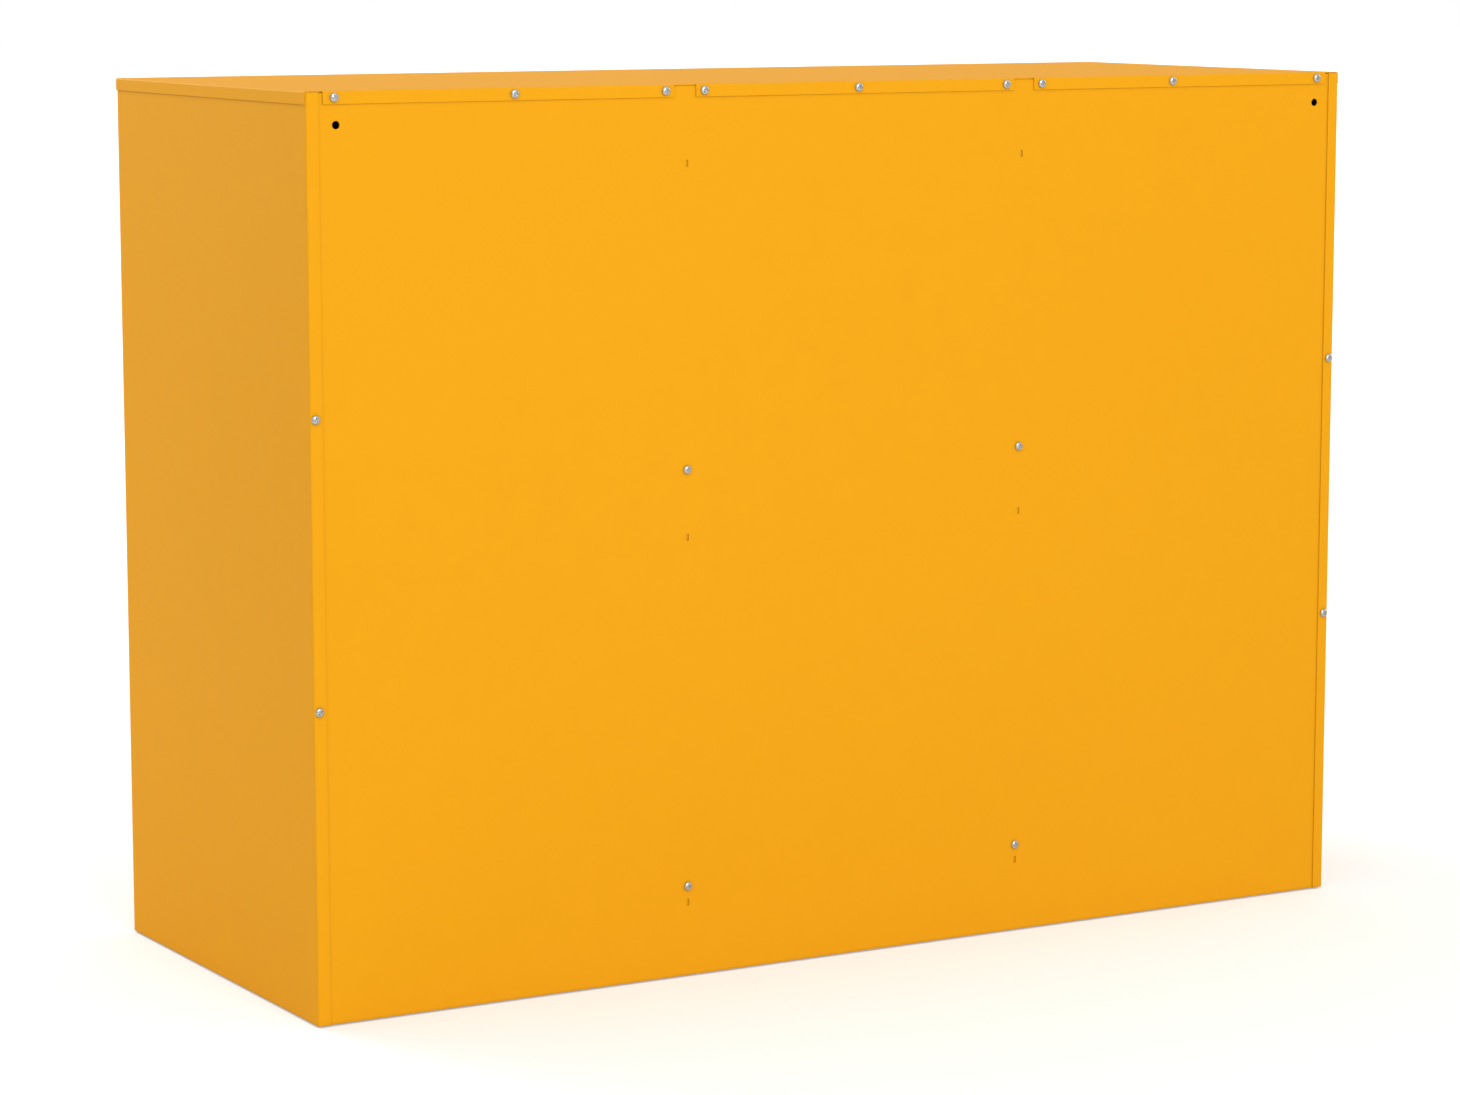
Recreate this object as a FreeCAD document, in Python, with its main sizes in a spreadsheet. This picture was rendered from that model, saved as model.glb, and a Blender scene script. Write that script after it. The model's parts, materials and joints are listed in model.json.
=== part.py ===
"""Three-bay steel sideboard: folded sheet panels, three doors on pivot pins, three shelves.

Frame: millimetres, +Z up, origin at the middle of the footprint on the floor. The doors face -Y,
the back panel faces +Y, and the cabinet is symmetric about X = 0 apart from the way the middle
door is hung.
"""
import FreeCAD
import Part
import os
import Sketcher

Vector = FreeCAD.Vector
Rotation = FreeCAD.Rotation

DRIVING_SIZES = [
    # whole cabinet
    ("overall_width", 990.0), ("overall_depth", 390.0), ("overall_height", 730.0),
    ("gauge", 0.8), ("bend_radius", 0.6), ("fit_gap", 0.3),
    # top panel
    ("lip_drop", 10.0), ("end_notch", 15.0), ("post_notch", 20.0), ("post_notch_shift", 1.75),
    # rail under the front of the top
    ("rail_height", 24.0), ("rail_return", 39.2), ("rail_upturn", 10.0), ("rail_flange", 15.0),
    # side panels and partitions
    ("side_flange", 10.4), ("stile_face", 20.45), ("post_face", 20.0), ("return_depth", 18.0),
    ("foot_flange", 24.0), ("foot_flange_setback", 30.0), ("post_foot_flange", 15.0),
    ("post_foot_length", 300.0),
    # back panel
    ("back_top_gap", 0.6), ("back_hem", 12.0), ("slit_width", 2.4), ("slit_height", 5.5),
    ("slit_spread", 302.2), ("wall_hole_inset", 26.0), ("wall_hole_bore", 6.5),
    # base
    ("plinth_height", 50.0), ("plinth_return", 20.0), ("floor_hem", 20.0),
    ("glide_height", 1.5), ("glide_radius", 9.0), ("glide_stem", 3.0), ("glide_inset", 45.0),
    ("bracket_gauge", 1.5), ("bracket_leg", 22.0), ("bracket_length", 40.0), ("bracket_reach", 120.0),
    # screws and nuts
    ("screw_shank", 2.0), ("screw_head", 3.75), ("head_height", 2.2), ("screw_length", 6.0),
    ("screw_play", 0.1), ("recess_depth", 1.2), ("recess_arm", 2.1), ("recess_slot", 0.7),
    ("head_crown", 0.6),
    ("nut_flat", 3.5), ("nut_height", 3.2), ("base_screw_length", 9.0),
    ("tab_screw_drop", 5.0), ("tab_screw_inset", 9.5), ("tab_screw_post_inset", 7.75),
    ("side_screw_inset", 4.5), ("side_screw_spread", 228.0),
    ("post_screw_high", 420.0), ("post_screw_low", 76.0), ("post_foot_reach", 110.0),
    # doors
    ("door_gap", 2.5), ("door_depth", 16.0), ("door_lip", 12.0),
    ("pivot_inset", 9.0), ("pivot_setback", 5.0), ("pin_radius", 2.5), ("pin_reach", 7.0),
    ("pin_collar", 4.0), ("pin_collar_height", 2.0), ("pin_tail", 6.0), ("pin_play", 0.1),
    ("bush_flange", 4.7), ("bush_flange_height", 1.5), ("bush_shank", 3.8), ("bush_depth", 6.0),
    ("stiffener_crown", 30.0), ("stiffener_foot", 10.0), ("stiffener_depth", 12.0),
    ("stiffener_end_gap", 22.0),
    # handles
    ("handle_projection", 8.6), ("handle_inset", 36.0), ("handle_level", 430.0),
    ("handle_length", 96.0), ("handle_width", 38.0), ("handle_rim", 1.6), ("handle_wall", 1.6),
    ("cup_length", 74.0), ("cup_width", 24.0), ("cup_depth", 12.5), ("grip_reach", 13.0),
    ("grip_edge", 3.0), ("handle_screw_pitch", 85.0),
    # catches
    ("catch_inset", 58.0), ("catch_width", 36.0), ("catch_height", 13.0), ("catch_depth", 18.0),
    ("catch_gap", 0.3), ("catch_ear", 9.0), ("catch_ear_height", 2.5), ("magnet_width", 26.0),
    ("magnet_height", 7.0), ("magnet_depth", 12.0), ("strike_width", 32.0),
    ("strike_height", 9.5), ("strike_gauge", 1.0), ("small_shank", 1.4), ("small_head", 2.6),
    ("small_head_height", 1.2), ("small_length", 5.0),
    # shelves
    ("strip_width", 18.0), ("strip_depth", 5.0), ("strip_gauge", 1.0), ("strip_bottom_gap", 20.0),
    ("strip_top_gap", 34.0), ("strip_front", 60.0), ("strip_rear", 60.0), ("slot_pitch", 25.0),
    ("slot_width", 11.0), ("slot_height", 3.0), ("slot_start", 30.0), ("slot_end_gap", 50.0),
    ("shelf_slot", 11.0), ("shelf_fold", 20.0), ("shelf_lip", 10.0), ("shelf_side_gap", 2.0),
    ("shelf_front_gap", 12.0), ("shelf_rear_gap", 14.0), ("clip_width", 10.0),
    ("clip_gauge", 1.6), ("clip_reach", 11.0), ("clip_hook", 5.0), ("clip_apron", 14.0),
]


class Size:
    """A length that keeps its number together with the sheet formula that gives it."""

    def __init__(self, value, text=None):
        self.value = float(value)
        self.text = text if text is not None else repr(float(value))

    def __add__(self, other):
        other = as_size(other)
        return Size(self.value + other.value, "(%s + %s)" % (self.text, other.text))

    def __sub__(self, other):
        other = as_size(other)
        return Size(self.value - other.value, "(%s - %s)" % (self.text, other.text))

    def __mul__(self, other):
        other = as_size(other)
        return Size(self.value * other.value, "%s * %s" % (self.text, other.text))

    def __truediv__(self, other):
        other = as_size(other)
        return Size(self.value / other.value, "%s / %s" % (self.text, other.text))

    def __rsub__(self, other):
        return as_size(other) - self

    def __neg__(self):
        return self * -1

    def whole(self):
        """The whole number at or below this one."""
        return Size(self.value // 1, "floor(%s)" % self.text)

    __radd__ = __add__
    __rmul__ = __mul__


def as_size(number):
    return number if isinstance(number, Size) else Size(number)


class Sheet:
    """The spreadsheet of driving sizes; each alias reads back as a Size."""

    def __init__(self, document):
        self.cells = document.addObject("Spreadsheet::Sheet", "Sizes")
        for row, (alias, value) in enumerate(DRIVING_SIZES, start=1):
            self.cells.set("A%d" % row, alias)
            self.cells.set("B%d" % row, str(value))
            self.cells.setAlias("B%d" % row, alias)
            setattr(self, alias, Size(value, "Sizes." + alias))


doc = FreeCAD.newDocument("Sideboard")
S = Sheet(doc)
doc.recompute()
nodes = []

# ---------------------------------------------------------------- planes worked out from the sheet
half_width = S.overall_width / 2
side_outer = half_width - S.gauge
side_inner = side_outer - S.gauge
rear_plane = S.overall_depth / 2 - S.head_height
back_outer = rear_plane - S.gauge
back_inner = back_outer - S.gauge
post_rear = back_inner - S.gauge
front_plane = S.handle_projection - S.overall_depth / 2
top_under = S.overall_height - S.gauge
mid_height = S.overall_height / 2
base_level = S.glide_height
floor_top = S.plinth_height
floor_under = floor_top - S.gauge
opening_top = S.overall_height - S.rail_height
opening_width = (side_outer * 2 - S.stile_face * 2 - S.post_face * 2) / 3
stile_edge = side_outer - S.stile_face
post_centre = (opening_width + S.post_face) / 2
post_outer = post_centre + S.post_face / 2
return_end = front_plane + S.return_depth
rail_end = front_plane + S.rail_return
tab_screw_level = S.overall_height - S.tab_screw_drop
notch_centre = post_centre + S.post_notch_shift
notch_outer = notch_centre + S.post_notch / 2
notch_inner = notch_centre - S.post_notch / 2
tab_end_screw = half_width - S.end_notch - S.tab_screw_inset
wall_hole_x = half_width - S.wall_hole_inset
wall_hole_z = S.overall_height - S.wall_hole_inset
side_screw_x = side_outer - S.side_screw_inset
screw_bore = S.screw_shank + S.screw_play
door_bottom = floor_top + S.door_gap
door_top = opening_top - S.door_gap
door_width = opening_width - S.door_gap * 2
door_back = front_plane + S.door_depth
pivot_y = front_plane + S.pivot_setback
strip_bottom = floor_top + S.strip_bottom_gap
strip_top = top_under - S.strip_top_gap
slot_count = ((strip_top - strip_bottom - S.slot_start - S.slot_end_gap) / S.slot_pitch).whole() + 1
clip_top = strip_bottom + S.slot_start + S.slot_pitch * S.shelf_slot
shelf_top = clip_top + S.shelf_fold

# each bay: name, side of the cabinet its middle is on, side its door hangs on
BAYS = [("left", -1, -1), ("middle", 0, -1), ("right", 1, 1)]


# ---------------------------------------------------------------- drawing helpers
def bind(thing, path, size):
    thing.setExpression(path, as_size(size).text)


def rectangle(x0, x1, y0, y1):
    return [(x0, y0), (x1, y0), (x1, y1), (x0, y1)]


class Piece:
    """One sub-part: a PartDesign body built from sketches on its own origin planes."""

    def __init__(self, label, keep=True):
        self.body = doc.addObject("PartDesign::Body", label)
        self.body.Label = label
        self.step = 0
        if keep:
            nodes.append(self.body)

    def plane(self, role):
        return [f for f in self.body.Origin.OriginFeatures if f.Role == role + "_Plane"][0]

    def sketch(self, role, offset, outlines, circles=()):
        """Closed straight-sided outlines and circles, every point tied to the sheet."""
        self.step += 1
        sketch = self.body.newObject("Sketcher::SketchObject", "%s_sketch%d" % (self.body.Name, self.step))
        sketch.AttachmentSupport = [(self.plane(role), "")]
        sketch.MapMode = "FlatFace"
        bind(sketch, "AttachmentOffset.Base.z", offset)
        for outline in outlines:
            self.add_outline(sketch, outline)
        for x, y, radius in circles:
            self.add_circle(sketch, as_size(x), as_size(y), as_size(radius))
        return sketch

    @staticmethod
    def add_outline(sketch, outline):
        points = [(as_size(x), as_size(y)) for x, y in outline]
        count = len(points)
        first = sketch.GeometryCount
        for i, (x, y) in enumerate(points):
            nx, ny = points[(i + 1) % count]
            sketch.addGeometry(Part.LineSegment(Vector(x.value, y.value, 0), Vector(nx.value, ny.value, 0)))
        for i in range(count):
            sketch.addConstraint(Sketcher.Constraint("Coincident", first + i, 2, first + (i + 1) % count, 1))
        for i, point in enumerate(points):
            for kind, size in zip(("DistanceX", "DistanceY"), point):
                index = sketch.addConstraint(Sketcher.Constraint(kind, -1, 1, first + i, 1, size.value))
                bind(sketch, "Constraints[%d]" % index, size)

    @staticmethod
    def add_circle(sketch, x, y, radius):
        circle = sketch.addGeometry(Part.Circle(Vector(x.value, y.value, 0), Vector(0, 0, 1), radius.value))
        index = sketch.addConstraint(Sketcher.Constraint("Radius", circle, radius.value))
        bind(sketch, "Constraints[%d]" % index, radius)
        for kind, size in (("DistanceX", x), ("DistanceY", y)):
            index = sketch.addConstraint(Sketcher.Constraint(kind, -1, 1, circle, 3, size.value))
            bind(sketch, "Constraints[%d]" % index, size)

    def pad(self, role, low, high, *outlines, circles=()):
        """Material between two levels along the plane's own axis (XZ counts along +Y)."""
        low, high = as_size(low), as_size(high)
        offset = -high if role == "XZ" else low
        sketch = self.sketch(role, offset, outlines, circles)
        pad = self.body.newObject("PartDesign::Pad", "%s_pad%d" % (self.body.Name, self.step))
        pad.Profile = sketch
        bind(pad, "Length", high - low)
        doc.recompute()
        return self

    def cut(self, role, low, high, *outlines, circles=()):
        """Removes what lies between two levels along the plane's own axis."""
        low, high = as_size(low), as_size(high)
        offset = -low if role == "XZ" else high
        before = self.body.Shape.Volume
        sketch = self.sketch(role, offset, outlines, circles)
        pocket = self.body.newObject("PartDesign::Pocket", "%s_cut%d" % (self.body.Name, self.step))
        pocket.Profile = sketch
        bind(pocket, "Length", high - low)
        doc.recompute()
        if not self.body.Shape.Volume < before:
            raise RuntimeError("%s: cut %d removes nothing" % (self.body.Label, self.step))
        return self

    def round_edges(self, radius, *places):
        """Rounds straight edges; a place is (x, y, z) with None along the way the edge runs."""
        names = []
        for number, edge in enumerate(self.body.Shape.Edges, start=1):
            ends = [v.Point for v in edge.Vertexes]
            if len(ends) == 2 and any(self.runs_through(ends, place) for place in places):
                names.append("Edge%d" % number)
        if not names:
            raise RuntimeError("%s: no edge to round" % self.body.Label)
        return self.fillet(names, radius)

    @staticmethod
    def runs_through(ends, place):
        axis = place.index(None)
        along = abs(ends[0][axis] - ends[1][axis])
        return along > 1e-3 and all(abs(end[i] - as_size(place[i]).value) < 1e-3
                                    for end in ends for i in range(3) if i != axis)

    def fillet(self, names, radius):
        self.step += 1
        solid = self.body.Tip
        fillet = self.body.newObject("PartDesign::Fillet", "%s_round%d" % (self.body.Name, self.step))
        fillet.Base = (solid, names)
        bind(fillet, "Radius", radius)
        doc.recompute()
        if "Invalid" in fillet.State:
            raise RuntimeError("%s: round %d fails" % (self.body.Label, self.step))
        return self


def group(label, master, places, turn=None):
    """One node holding a placed copy of the master piece for each place."""
    links = []
    for i, place in enumerate(places, start=1):
        link = doc.addObject("App::Link", "%s_copy%d" % (label, i))
        link.LinkedObject = master.body
        if turn is not None:
            link.Placement = FreeCAD.Placement(Vector(), turn)
        for letter, size in zip("xyz", place):
            bind(link, "Placement.Base." + letter, size)
        links.append(link)
    compound = doc.addObject("Part::Compound", label)
    compound.Label = label
    compound.Links = links
    doc.recompute()
    nodes.append(compound)
    return compound


HEAD_TO_REAR = Rotation(Vector(1, 0, 0), -90)
HEAD_TO_FRONT = Rotation(Vector(1, 0, 0), 90)
HEAD_DOWN = Rotation(Vector(1, 0, 0), 180)
outer_bend = S.bend_radius + S.gauge


# ---------------------------------------------------------------- fastener masters
def screw_master(label, shank, head, head_height, length):
    """Pan-head screw: head above Z = 0, shank below, cross recess in the head."""
    screw = Piece(label, keep=False)
    screw.pad("XY", -length, 0, circles=[(0, 0, shank)])
    screw.pad("XY", 0, head_height, circles=[(0, 0, head)])
    rim = [n for n, e in enumerate(screw.body.Shape.Edges, start=1)
           if len(e.Vertexes) == 1 and abs(e.CenterOfMass.z - head_height.value) < 1e-3]
    screw.fillet(["Edge%d" % n for n in rim], head_height * S.head_crown)
    arm = S.recess_arm * head / S.screw_head
    slot = S.recess_slot * head / S.screw_head / 2
    cross = [(-arm, -slot), (-slot, -slot), (-slot, -arm), (slot, -arm), (slot, -slot), (arm, -slot),
             (arm, slot), (slot, slot), (slot, arm), (-slot, arm), (-slot, slot), (-arm, slot)]
    depth = S.recess_depth * head_height / S.head_height
    screw.cut("XY", head_height - depth, head_height, cross)
    return screw


def nut_master(label):
    """Hexagon nut: flat seat at Z = 0, body below it, plain bore."""
    nut = Piece(label, keep=False)
    corner = S.nut_flat * 1.1547005
    hexagon = [(corner, 0), (corner / 2, S.nut_flat), (-corner / 2, S.nut_flat),
               (-corner, 0), (-corner / 2, -S.nut_flat), (corner / 2, -S.nut_flat)]
    nut.pad("XY", -S.nut_height, 0, hexagon)
    nut.cut("XY", -S.nut_height, 0, circles=[(0, 0, screw_bore)])
    return nut


panel_screw = screw_master("panel_screw_master", S.screw_shank, S.screw_head, S.head_height, S.screw_length)
base_screw = screw_master("base_screw_master", S.screw_shank, S.screw_head, S.head_height,
                          S.base_screw_length)
small_screw = screw_master("small_screw_master", S.small_shank, S.small_head, S.small_head_height,
                           S.small_length)
nut = nut_master("nut_master")


# ---------------------------------------------------------------- carcass
tab_screw_x = [tab_end_screw, (tab_end_screw + post_centre) / 2, notch_outer + S.tab_screw_post_inset,
               notch_inner - S.tab_screw_post_inset]
tab_screw_places = [(0, tab_screw_level)]
for place in tab_screw_x:
    tab_screw_places += [(place, tab_screw_level), (-place, tab_screw_level)]
side_screw_places = [(side_screw_x * s, mid_height + S.side_screw_spread / 2 * k)
                     for s in (-1, 1) for k in (-1, 1)]
post_screw_places = [(post_centre * s, level) for s in (-1, 1)
                     for level in (S.post_screw_low, S.post_screw_high)]


def bores(places, radius=screw_bore):
    return [(x, z, radius) for x, z in places]


def make_top_panel():
    """Cap: lips over the front and sides, and three rear tabs over the back panel."""
    lip_bottom = S.overall_height - S.lip_drop
    plate_rear = rear_plane - outer_bend
    lip_front = front_plane - S.gauge
    top = Piece("top_panel")
    top.pad("XY", top_under, S.overall_height, rectangle(-half_width, half_width, lip_front, plate_rear))
    for s in (-1, 1):
        top.pad("XY", lip_bottom, top_under,
                rectangle(side_outer * s, half_width * s, lip_front, plate_rear))
    top.pad("XY", lip_bottom, top_under, rectangle(-half_width, half_width, lip_front, front_plane))
    tabs = [(notch_outer, half_width - S.end_notch), (-notch_inner, notch_inner),
            (S.end_notch - half_width, -notch_outer)]
    for low, high in tabs:
        top.pad("YZ", low, high, [(plate_rear, S.overall_height), (rear_plane, S.overall_height),
                                  (rear_plane, lip_bottom), (back_outer, lip_bottom),
                                  (back_outer, top_under), (plate_rear, top_under)])
    top.cut("XZ", back_outer, rear_plane, circles=bores(tab_screw_places))
    top.round_edges(outer_bend, (half_width, None, S.overall_height),
                    (-half_width, None, S.overall_height), (None, lip_front, S.overall_height),
                    (half_width, lip_front, None), (-half_width, lip_front, None))
    top.round_edges(outer_bend, (None, rear_plane, S.overall_height))
    return top


def make_front_rail():
    """Boxed rail welded under the front of the top; its return carries the upper bushes and catches."""
    upturn = opening_top + S.rail_upturn
    flange = front_plane + S.rail_flange
    rail = Piece("top_front_rail")
    rail.pad("YZ", S.fit_gap - stile_edge, stile_edge - S.fit_gap,
             [(front_plane, top_under), (front_plane, opening_top), (rail_end, opening_top),
              (rail_end, upturn), (rail_end - S.gauge, upturn), (rail_end - S.gauge, opening_top + S.gauge),
              (front_plane + S.gauge, opening_top + S.gauge), (front_plane + S.gauge, top_under - S.gauge),
              (flange, top_under - S.gauge), (flange, top_under)])
    rail.cut("XY", opening_top, opening_top + S.gauge,
             circles=[(pivot_x(bay), pivot_y, S.bush_shank + S.screw_play) for bay in BAYS])
    rail.cut("XY", opening_top, opening_top + S.gauge,
             circles=[(x, catch_screw_y, S.small_shank + S.screw_play) for x in catch_screw_x()])
    rail.round_edges(outer_bend, (None, front_plane, opening_top))


def make_back_panel():
    """One flat sheet with a hem at its foot, pierced for screws, locating slits and wall fixings."""
    edge = side_inner - S.fit_gap
    back = Piece("back_panel")
    back.pad("XZ", back_inner, back_outer, rectangle(-edge, edge, base_level, top_under - S.back_top_gap))
    back.pad("XY", base_level, base_level + S.gauge,
             rectangle(-edge, edge, back_outer - S.back_hem, back_outer))
    back.cut("XZ", back_inner, back_outer,
             circles=bores(tab_screw_places + side_screw_places + post_screw_places))
    back.cut("XZ", back_inner, back_outer,
             circles=bores([(wall_hole_x * s, wall_hole_z) for s in (-1, 1)], S.wall_hole_bore / 2))
    for s in (-1, 1):
        for k in (-1, 0, 1):
            x, z = post_centre * s, mid_height + S.slit_spread * k
            back.cut("XZ", back_inner, back_outer,
                     rectangle(x - S.slit_width / 2, x + S.slit_width / 2,
                               z - S.slit_height / 2, z + S.slit_height / 2))
    return back


def make_side_panel(name, s):
    """Channel: outer sheet, rear flange over the back, front stile with a return, foot flange."""
    inner_flange = side_outer - S.side_flange
    plan = [(inner_flange, rear_plane), (side_outer, rear_plane), (side_outer, front_plane),
            (stile_edge, front_plane), (stile_edge, return_end), (stile_edge + S.gauge, return_end),
            (stile_edge + S.gauge, front_plane + S.gauge), (side_inner, front_plane + S.gauge),
            (side_inner, back_outer), (inner_flange, back_outer)]
    side = Piece("side_panel_" + name)
    side.pad("XY", base_level, top_under, [(x * s, y) for x, y in plan])
    side.pad("XY", base_level, base_level + S.gauge,
             rectangle((side_inner - S.foot_flange) * s, side_outer * s,
                       front_plane + S.foot_flange_setback, back_outer - S.back_hem - S.fit_gap))
    side.cut("XZ", back_outer, rear_plane, circles=bores([p for p in side_screw_places
                                                          if p[0].value * s > 0]))
    side.cut("XY", base_level, base_level + S.gauge,
             circles=[(glide_x * s, y, S.glide_stem + S.screw_play) for y in glide_y])
    side.round_edges(outer_bend, (side_outer * s, rear_plane, None), (side_outer * s, front_plane, None),
                     (stile_edge * s, front_plane, None))
    return side


def make_partition(name, s):
    """Post and web from one sheet: front face, free return, web to the back, rear flange, foot, head."""
    inner, outer = post_centre - S.post_face / 2, post_outer
    web = outer - S.gauge
    behind_rail = rail_end + S.fit_gap
    half_foot = S.post_foot_length / 2
    plan = [(inner, return_end), (inner, front_plane), (outer, front_plane), (outer, back_inner),
            (inner, back_inner), (inner, post_rear), (web, post_rear), (web, front_plane + S.gauge),
            (inner + S.gauge, front_plane + S.gauge), (inner + S.gauge, return_end)]
    head = [(outer, behind_rail), (outer, back_inner), (inner, back_inner), (inner, post_rear),
            (web, post_rear), (web, behind_rail)]
    post = Piece("partition_" + name)
    post.pad("XY", floor_top, opening_top, [(x * s, y) for x, y in plan])
    post.pad("XY", opening_top, top_under, [(x * s, y) for x, y in head])
    for low in (floor_top, top_under - S.gauge):
        post.pad("XY", low, low + S.gauge,
                 rectangle((web - S.post_foot_flange) * s, outer * s, -half_foot, half_foot))
    post.cut("XZ", post_rear, back_inner, circles=bores([p for p in post_screw_places
                                                         if p[0].value * s > 0]))
    post.cut("XY", floor_top, floor_top + S.gauge,
             circles=[(post_foot_x * s, S.post_foot_reach * k, screw_bore) for k in (-1, 1)])
    post.round_edges(outer_bend, (inner * s, front_plane, None), (outer * s, front_plane, None))
    return post


def make_bottom_panel():
    """Floor sheet with a rear hem; its front folds down as the plinth, ending in a foot return."""
    half_floor = side_inner - S.fit_gap
    half_plinth = stile_edge - S.fit_gap
    seam = return_end + S.fit_gap
    floor = Piece("bottom_panel")
    floor.pad("YZ", -half_floor, half_floor,
              [(seam, floor_top), (seam, floor_under), (post_rear, floor_under),
               (post_rear, floor_top - S.floor_hem), (back_inner, floor_top - S.floor_hem),
               (back_inner, floor_top)])
    floor.pad("YZ", -half_plinth, half_plinth,
              [(seam + S.gauge, floor_top), (front_plane, floor_top), (front_plane, base_level),
               (front_plane + S.plinth_return, base_level),
               (front_plane + S.plinth_return, base_level + S.gauge),
               (front_plane + S.gauge, base_level + S.gauge), (front_plane + S.gauge, floor_under),
               (seam + S.gauge, floor_under)])
    floor.cut("XY", floor_under, floor_top,
              circles=[(x, y, screw_bore) for x, y, _ in bracket_screw_places + post_foot_places])
    floor.cut("XY", floor_under, floor_top,
              circles=[(pivot_x(bay), pivot_y, S.bush_shank + S.screw_play) for bay in BAYS])
    floor.round_edges(outer_bend, (None, front_plane, floor_top), (None, front_plane, base_level))
    return floor


def make_base_brackets():
    """Four angles welded inside the side panels that carry the floor sheet."""
    bracket = Piece("base_bracket_master", keep=False)
    bracket.pad("XZ", -S.bracket_length / 2, S.bracket_length / 2,
                [(0, 0), (S.bracket_leg, 0), (S.bracket_leg, -S.bracket_leg),
                 (S.bracket_leg - S.bracket_gauge, -S.bracket_leg),
                 (S.bracket_leg - S.bracket_gauge, -S.bracket_gauge), (0, -S.bracket_gauge)])
    bracket.cut("XY", -S.bracket_gauge, 0, circles=[(S.bracket_leg / 2, 0, screw_bore)])
    half_turn = Rotation(Vector(0, 0, 1), 180)
    links = []
    for s in (-1, 1):
        for k in (-1, 1):
            link = doc.addObject("App::Link", "base_bracket_copy%d" % (len(links) + 1))
            link.LinkedObject = bracket.body
            if s < 0:
                link.Placement = FreeCAD.Placement(Vector(), half_turn)
            for letter, size in zip("xyz", ((side_inner - S.bracket_leg) * s, S.bracket_reach * k,
                                            floor_under)):
                bind(link, "Placement.Base." + letter, size)
            links.append(link)
    brackets = doc.addObject("Part::Compound", "base_brackets")
    brackets.Label = "base_brackets"
    brackets.Links = links
    nodes.append(brackets)


def make_foot_glides():
    """Flat nylon discs whose stems plug into the foot flanges."""
    glide = Piece("foot_glide_master", keep=False)
    glide.pad("XY", 0, S.glide_height, circles=[(0, 0, S.glide_radius)])
    glide.pad("XY", S.glide_height, S.glide_height + S.gauge * 4, circles=[(0, 0, S.glide_stem)])
    group("foot_glides", glide, [(glide_x * s, y, 0) for s in (-1, 1) for y in glide_y])


# ---------------------------------------------------------------- doors
def bay_centre(bay):
    return (opening_width + S.post_face) * bay[1]


def hinge_edge(bay):
    """X of the door's own edge on the side it hangs on."""
    return bay_centre(bay) + door_width / 2 * bay[2]


def pivot_x(bay):
    return hinge_edge(bay) - S.pivot_inset * bay[2]


def from_free_edge(bay, distance):
    """X of a point so far in from the door's free edge."""
    return bay_centre(bay) + (distance - door_width / 2) * bay[2]


def catch_screw_x():
    ear_reach = (S.catch_width + S.catch_ear) / 2
    return [from_free_edge(bay, S.catch_inset) + ear_reach * k for bay in BAYS for k in (-1, 1)]


def make_door(bay):
    """Pan: skin, four returns, and a lip turned in along the back."""
    left, right = bay_centre(bay) - door_width / 2, bay_centre(bay) + door_width / 2
    handle_x = from_free_edge(bay, S.handle_inset)
    strike_x = from_free_edge(bay, S.catch_inset)
    cup_half = S.cup_width / 2 + S.handle_wall + S.fit_gap
    cup_high = S.cup_length / 2 + S.handle_wall + S.fit_gap

    def ring(inset):
        return rectangle(left + inset, right - inset, door_bottom + inset, door_top - inset)

    door = Piece("door_" + bay[0])
    door.pad("XZ", front_plane, front_plane + S.gauge, ring(0))
    door.pad("XZ", front_plane + S.gauge, door_back, ring(0), ring(S.gauge))
    door.pad("XZ", door_back - S.gauge, door_back, ring(0), ring(S.door_lip))
    for low in (door_bottom, door_top - S.gauge):
        door.cut("XY", low, low + S.gauge, circles=[(pivot_x(bay), pivot_y, S.pin_radius)])
    door.cut("XZ", front_plane, front_plane + S.gauge,
             rectangle(handle_x - cup_half, handle_x + cup_half,
                       S.handle_level - cup_high, S.handle_level + cup_high))
    door.cut("XZ", front_plane, front_plane + S.gauge,
             circles=[(handle_x, S.handle_level + S.handle_screw_pitch / 2 * k,
                       S.small_shank + S.screw_play) for k in (-1, 1)])
    door.cut("XZ", door_back - S.gauge, door_back,
             circles=[(strike_x, door_top - S.door_lip / 2, S.small_shank + S.screw_play)])
    door.round_edges(S.gauge * 0.95, (left, front_plane, None), (right, front_plane, None),
                     (None, front_plane, door_bottom), (None, front_plane, door_top))
    return door


def make_stiffener(bay):
    """Hat channel welded behind the middle of the skin."""
    centre = bay_centre(bay)
    skin = front_plane + S.gauge
    crown = skin + S.stiffener_depth
    half, foot = S.stiffener_crown / 2, S.stiffener_foot
    plan = [(-half - foot, skin), (-half, skin), (-half, crown - S.gauge), (half, crown - S.gauge),
            (half, skin), (half + foot, skin), (half + foot, skin + S.gauge),
            (half + S.gauge, skin + S.gauge), (half + S.gauge, crown), (-half - S.gauge, crown),
            (-half - S.gauge, skin + S.gauge), (-half - foot, skin + S.gauge)]
    Piece("door_stiffener_" + bay[0]).pad("XY", door_bottom + S.stiffener_end_gap,
                                          door_top - S.stiffener_end_gap,
                                          [(centre + x, y) for x, y in plan])


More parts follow.
